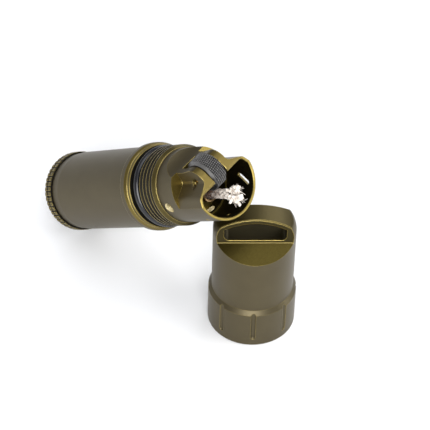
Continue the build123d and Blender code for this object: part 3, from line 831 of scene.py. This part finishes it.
@dataclass
class Wick:
    """Round-braided cotton wick, stained near its tube and frayed white at its tip."""

    place: LighterPlace
    root_y: float = -3.4
    foot: float = 14.4
    mouth: float = 65.35
    tip: float = 75.5
    tip_x: float = 1.55
    tip_y: float = -5.55
    droop: float = 1.5
    radius: float = 0.95
    yarn_radius: float = 0.4
    yarn_sides: int = 8
    yarns: int = 8
    lay: float = 6.4
    step: float = 0.2
    weave: float = 0.16
    stain_foot: float = 0.8
    stain_length: float = 7.2
    stain_most: float = 1.05
    # Painted shade where a yarn passes under the others.
    shade_under: float = 0.35
    fray_start: float = 72.7
    lobe: tuple[float, float, float] = (0.85, 0.85, -0.7)
    lobe_drop: float = 0.3
    curls: int = 9
    curl_length: float = 0.6
    curl_times: tuple[float, ...] = (0.0, 0.3, 0.6, 0.85, 1.0)
    curl_swell: tuple[float, ...] = (0.7, 1.15, 1.25, 1.0, 0.6)
    curl_scatter: tuple[float, float] = (0.15, 0.35)
    curl_wander: float = 0.4
    curl_bow: float = 0.4
    fluff_mm: float = 0.35
    fluff: float = 0.16
    fibres: int = 8
    fibre_length: float = 1.3
    fibre_times: tuple[float, ...] = (0.0, 0.35, 0.7, 1.0)
    fibre_radii: tuple[float, ...] = (0.05, 0.05, 0.05, 0.03)
    fibre_sides: int = 4
    fibre_roots: tuple[float, float] = (0.3, 1.1)
    fibre_scatter: float = 0.4
    fibre_wander: float = 0.6
    fibre_bow: float = 0.5
    seed: int = 11

    def middle(self, z: float) -> Vector:
        """The wick's middle at a height, in the lighter's frame."""
        bend = max(0.0, (z - self.mouth) / (self.tip - self.mouth)) ** self.droop
        return Vector((self.tip_x * bend, self.root_y + (self.tip_y - self.root_y) * bend, z))

    def over(self, i: int, z: float) -> float:
        """How far yarn i lies above (1) or below (-1) the yarns that cross it at a height."""
        return math.sin(self.yarns / 2 * TURN * z / self.lay + math.pi * (i % 2))

    def yarn_point(self, i: int, z: float) -> Vector:
        """Middle of yarn i at a height; half the yarns wind each way, over and under the others."""
        way = 1 if i % 2 else -1
        turn = way * TURN * z / self.lay + TURN * i / self.yarns
        reach = self.radius + self.weave * self.over(i, z)
        return self.middle(z) + Vector((math.cos(turn), math.sin(turn), 0.0)) * reach

    def stain_and_shade(self, z: float, under: float = 0.0) -> float:
        """How brown the wick is at a height from its real stain, with painted shade added where a yarn
        passes under others.
        """
        faded = (z - self.mouth - self.stain_foot) / self.stain_length
        return min(1.0, max(0.0, self.stain_most - faded) + self.shade_under * max(0.0, under))

    def build(self) -> None:
        """Builds the braid and its frayed tip in place of the CAD wick."""
        draw = random.Random(self.seed)
        shape = bmesh.new()
        count = int((self.fray_start - self.foot) / self.step)
        heights = [self.foot + self.step * k for k in range(count + 1)]
        radii = [self.yarn_radius * MM] * len(heights)
        for i in range(self.yarns):
            path = [self.place.out(self.yarn_point(i, z)) for z in heights]
            # Each yarn gets its real stain, plus painted shade where it passes under others.
            tube(shape, path, radii, self.yarn_sides, [self.stain_and_shade(z, -self.over(i, z)) for z in heights])
            self.fray(shape, i, draw)
        bmesh.ops.recalc_face_normals(shape, faces=shape.faces)
        made = mesh_object("wick_braided", shape, made_up(WICK_COTTON))
        put_in_place(made, "wick", "wick")

    def fray(self, shape: bmesh.types.BMesh, i: int, draw: random.Random) -> None:
        """Opens the end of yarn i into soft curls and fibres that gather in one of the tip's two lobes.

        Args:
            shape: Mesh that gets the curls.
            i: Number of the yarn.
            draw: Source of random numbers.
        """

        def scatter(size: float) -> Vector:
            """A random vector of about a given size."""
            return Vector((draw.gauss(0, size), draw.gauss(0, size), draw.gauss(0, size)))

        base = self.middle(self.fray_start)

        def strand(start: Vector, wander: float, bow: float) -> tuple[Vector, Vector]:
            """Draws the direction and the bend of a strand that points away from the fray's base.

            Args:
                start: Where it starts, in the lighter's frame.
                wander: How far its direction strays.
                bow: How far it bends.

            Returns:
                Its direction and its bend.
            """
            aim = ((start - base).normalized() + scatter(wander)).normalized()
            return aim, scatter(bow)

        root = self.yarn_point(i, self.fray_start)
        away = root - base
        way = 1.0 if away.x + away.y > 0 else -1.0
        lobe = self.middle(self.tip - self.lobe_drop) + Vector(self.lobe) * way
        swell = [self.yarn_radius * share * MM for share in self.curl_swell]
        tuft = bmesh.new()
        for k in range(self.curls):
            along = (k + 0.5) / self.curls
            start = root.lerp(lobe, along) + scatter(self.curl_scatter[0] + self.curl_scatter[1] * along)
            aim, bend = strand(start, self.curl_wander, self.curl_bow)
            curl = [start + aim * self.curl_length * t + bend * t * t for t in self.curl_times]
            path = [self.place.out(p) for p in curl]
            tube(tuft, path, swell, self.yarn_sides, [self.stain_and_shade(p.z) for p in curl])
        bmesh.ops.subdivide_edges(tuft, edges=tuft.edges, cuts=1, use_grid_fill=True)
        bmesh.ops.recalc_face_normals(tuft, faces=tuft.faces)
        tuft.normal_update()
        for vert in tuft.verts:
            vert.co += vert.normal * noise.noise(vert.co * per_metre(self.fluff_mm)) * self.fluff * MM
        soft = bpy.data.meshes.new("tuft")
        tuft.to_mesh(soft)
        tuft.free()
        shape.from_mesh(soft)
        bpy.data.meshes.remove(soft)
        thin = [radius * MM for radius in self.fibre_radii]
        for _ in range(self.fibres):
            start = root.lerp(lobe, draw.uniform(*self.fibre_roots)) + scatter(self.fibre_scatter)
            aim, bend = strand(start, self.fibre_wander, self.fibre_bow)
            hair = [start + aim * self.fibre_length * t + bend * t * t for t in self.fibre_times]
            tube(shape, [self.place.out(p) for p in hair], thin, self.fibre_sides, [0.0] * len(hair))


@dataclass
class Packing:
    """Cotton wool in the tank and the felt pad that holds it."""

    wads: int = 4
    weld_mm: float = 0.002
    cut_mm: float = 0.9
    cut_rounds: int = 3
    lump_mm: float = 1.6
    # Roughness, gap between octaves and number of octaves of the lumps.
    lump_detail: tuple[float, float, int] = (0.6, 2.0, 3)
    lump_limits: tuple[float, float] = (-1.0, 0.5)
    puff_mm: float = 0.2

    def puffed(self, node: str, finish: Finish) -> None:
        """Puts a lumpy, soft piece in place of a plain CAD disc.

        Args:
            node: CAD node.
            finish: Its finish.
        """
        shape = bmesh.new()
        shape.from_mesh(frame["nodes"][node].data)
        bmesh.ops.remove_doubles(shape, verts=shape.verts, dist=self.weld_mm * MM)
        for _ in range(self.cut_rounds):
            long_edges = [e for e in shape.edges if e.calc_length() > self.cut_mm * MM]
            bmesh.ops.subdivide_edges(shape, edges=long_edges, cuts=1)
            bmesh.ops.triangulate(shape, faces=[f for f in shape.faces if len(f.verts) > 4])
        shape.normal_update()
        low, high = self.lump_limits
        for vert in shape.verts:
            lump = noise.fractal(vert.co * per_metre(self.lump_mm), *self.lump_detail)
            vert.co += vert.normal * max(low, min(high, lump)) * self.puff_mm * MM
        made = mesh_object(node + "_soft", shape, made_up(finish))
        put_in_place(made, "barrel", node)

    def build(self) -> None:
        """Builds the pad and the wads."""
        for number in range(1, self.wads + 1):
            self.puffed(f"cotton_wad_{number}", WAD_COTTON)
        self.puffed("felt_pad", FELT)


@dataclass
class ScrewCap:
    """Cap with a fluted grip, a sloped step each side and a lug with a slot. Heights run from the
    floor, and the lug stands turned about the cap's upright axis."""

    turned: float = 46.4
    step_slant: float = 0.954
    slant_room: float = 0.012
    step_heights: tuple[float, float] = (29.0, 36.0)
    inside_top: float = 31.0
    inside_radius: float = 11.75
    ceiling: float = 0.3
    slot_half: float = 8.8
    slot_floor: float = 33.9
    slot_top: float = 39.6
    lug_foot: float = 33.0
    lug_foot_band: float = 1.2
    lug_half: float = 6.0
    lug_top: float = 0.5
    square: float = 0.9
    edgewise: float = 0.3

    def build(self) -> None:
        """Dresses the cap: blasted skin, milled step, bright slot lip, and painted shade inside and on
        the slot's walls.
        """
        low, high = (Vector(corner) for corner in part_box("screw_cap"))
        axis = (low + high) / 2.0
        turn = math.radians(self.turned)
        along = Vector((math.cos(turn), math.sin(turn), 0.0))
        through = Vector((-math.sin(turn), math.cos(turn), 0.0))
        heart = Vector((axis.x, axis.y, (self.slot_floor + self.slot_top) / 2.0 * MM))

        def cap_face(middle: Vector, normal: Vector) -> Finish:
            """Picks blasted skin, milled step, bright lips, or painted shade inside and on the slot's
            walls.
            """
            height = middle.z / MM
            place = (middle - axis) / MM
            facing = abs(normal.dot(through))
            # The cap's hollow gets painted shade.
            if self.is_inside(place, normal, height):
                return OLIVE_DARK
            slant = abs(abs(normal.z) - self.step_slant)
            if slant < self.slant_room and self.step_heights[0] < height < self.step_heights[1]:
                return OLIVE_CUT
            in_slot = abs(place.dot(along)) < self.slot_half and self.slot_floor < height < self.slot_top
            # The slot's walls get painted shade, and its cut lip gets bright gold.
            if in_slot and facing < self.square and normal.dot(heart - middle) > 0:
                return OLIVE_LUG if facing < self.edgewise else GOLD_CUT
            if height <= self.lug_foot or abs(place.dot(through)) >= self.lug_half:
                return OLIVE
            if facing > self.square:
                return OLIVE_LUG
            if normal.z > self.lug_top:
                return OLIVE_CHAMFER
            on_foot = facing > self.edgewise and height < self.lug_foot + self.lug_foot_band
            return GOLD_CUT if on_foot else OLIVE

        picked = (OLIVE, OLIVE_DARK, OLIVE_CUT, GOLD_CUT, OLIVE_LUG, OLIVE_CHAMFER)
        dress("screw_cap", picked, cap_face)

    def is_inside(self, place: Vector, normal: Vector, height: float) -> bool:
        """Whether a face belongs to the cap's hollow.

        Args:
            place: The face's middle, from the middle of the cap, in millimetres.
            normal: The way it faces.
            height: Its height in millimetres.

        Returns:
            True for the hollow's wall and ceiling.
        """
        reach = Vector((place.x, place.y))
        inward = reach.dot(Vector((normal.x, normal.y))) < 0
        within = height < self.inside_top and reach.length < self.inside_radius
        return within and (inward or normal.z < -self.ceiling)


# ---------------------------------------------------------------- studio


class Light(Enum):
    """The studio's lamps: where each stands in metres, its width in metres, its watts and colour."""

    FRONT = ((0.85, -0.85, 0.75), 1.0, 20.5, "#ffffff")
    KEY = ((0.7, 0.4, 1.0), 0.8, 4.1, "#fffdf8")
    SIDE = ((1.0, 0.9, 0.35), 0.7, 4.4, "#ffffff")
    TOP = ((0.0, 0.0, 1.2), 0.9, 4.0, "#fafbff")
    BACK = ((-0.4, 1.0, 0.6), 0.6, 3.0, "#fafbff")


@dataclass
class Studio:
    """Paper sweep, soft lamps, sky and the camera, in metres and degrees."""

    paper_half: float = 3.0
    paper_rows: int = 24
    paper_flat: float = 1.2
    paper_curve: float = 0.35
    heading: float = 134.21
    pitch: float = 43.72
    roll: float = 1.464
    stand: tuple[float, float, float] = (0.2764, -0.2654, 0.388)
    lens_mm: float = 153.86
    sensor_mm: float = 36.0
    nearest: float = 0.02
    sky: str = "#ffffff"
    horizon: tuple[float, float] = (0.05, 0.18)
    horizon_power: float = 1.0
    zenith_power: float = 0.36

    def build(self) -> None:
        """Builds the studio."""
        self.paper()
        for lamp in Light:
            self.lamp(lamp)
        self.air()
        bpy.context.scene.view_settings.view_transform = "Standard"
        self.camera()

    def paper(self) -> None:
        """Lays a wide sheet of paper, its far edge curving gently up."""
        half = self.paper_half
        shape = bmesh.new()
        rows = []
        for k in range(self.paper_rows + 1):
            y = -half + 2 * half * k / self.paper_rows
            rise = self.paper_curve * max(0.0, y - self.paper_flat) ** 2
            rows.append([shape.verts.new((x, y, rise)) for x in (-half, 0.0, half)])
        for near, far in zip(rows, rows[1:]):
            for k in range(len(near) - 1):
                shape.faces.new((near[k], near[k + 1], far[k + 1], far[k]))
        mesh_object("paper_sweep", shape, StudioPaper().material())

    def lamp(self, lamp: Light) -> None:
        """Hangs one soft lamp that looks at the object."""
        spot, width, power, colour = lamp.value
        data = bpy.data.lights.new("lamp_" + lamp.name.lower(), "AREA")
        data.shape = "DISK"
        data.size = width
        data.energy = power
        data.color = linear(colour)[:3]
        made = bpy.data.objects.new(data.name, data)
        made.location = spot
        made.rotation_euler = (-Vector(spot)).to_track_quat("-Z", "Y").to_euler()
        bpy.context.scene.collection.objects.link(made)

    def air(self) -> None:
        """Fills the room with soft light, bright at the horizon and dimmer overhead."""
        world = bpy.data.worlds.new("studio_air")
        world.use_nodes = True
        tree = world.node_tree
        back = tree.nodes["Background"]
        back.inputs["Color"].default_value = linear(self.sky)
        way = add(tree, "ShaderNodeTexCoord").outputs["Generated"]
        rise = add(tree, "ShaderNodeSeparateXYZ", links={"Vector": way}).outputs["Z"]
        low, high = self.horizon
        span = {
            "From Min": low,
            "From Max": high,
            "To Min": self.horizon_power,
            "To Max": self.zenith_power,
        }
        power = add(tree, "ShaderNodeMapRange", span, {"Value": rise}).outputs["Result"]
        tree.links.new(power, back.inputs["Strength"])
        bpy.context.scene.world = world

    def camera(self) -> None:
        """Stands the camera, looking down past the head at the leaning barrel."""
        data = bpy.data.cameras.new("camera")
        data.lens = self.lens_mm
        data.sensor_width = self.sensor_mm
        data.clip_start = self.nearest
        way = math.radians(self.heading)
        drop = math.radians(self.pitch)
        lean = math.radians(self.roll)
        ahead = Vector((math.cos(way) * math.cos(drop), math.sin(way) * math.cos(drop), -math.sin(drop)))
        level = Vector((math.sin(way), -math.cos(way), 0.0))
        above = level.cross(ahead)
        right = level * math.cos(lean) + above * math.sin(lean)
        up = above * math.cos(lean) - level * math.sin(lean)
        turn = Matrix((right, up, -ahead)).transposed().to_4x4()
        made = bpy.data.objects.new("camera", data)
        made.matrix_world = Matrix.Translation(Vector(self.stand)) @ turn
        bpy.context.scene.collection.objects.link(made)
        bpy.context.scene.camera = made


def main() -> None:
    """Builds the studio, then the lighter's looks."""
    place = LighterPlace.from_joints(frame["joints"])
    Studio().build()
    Barrel(place).build()
    WindscreenHead(place).build()
    FlintWheel(place).build()
    FlintWork().build()
    Wick(place).build()
    Packing().build()
    ScrewCap().build()


if __name__ == "__main__":
    main()
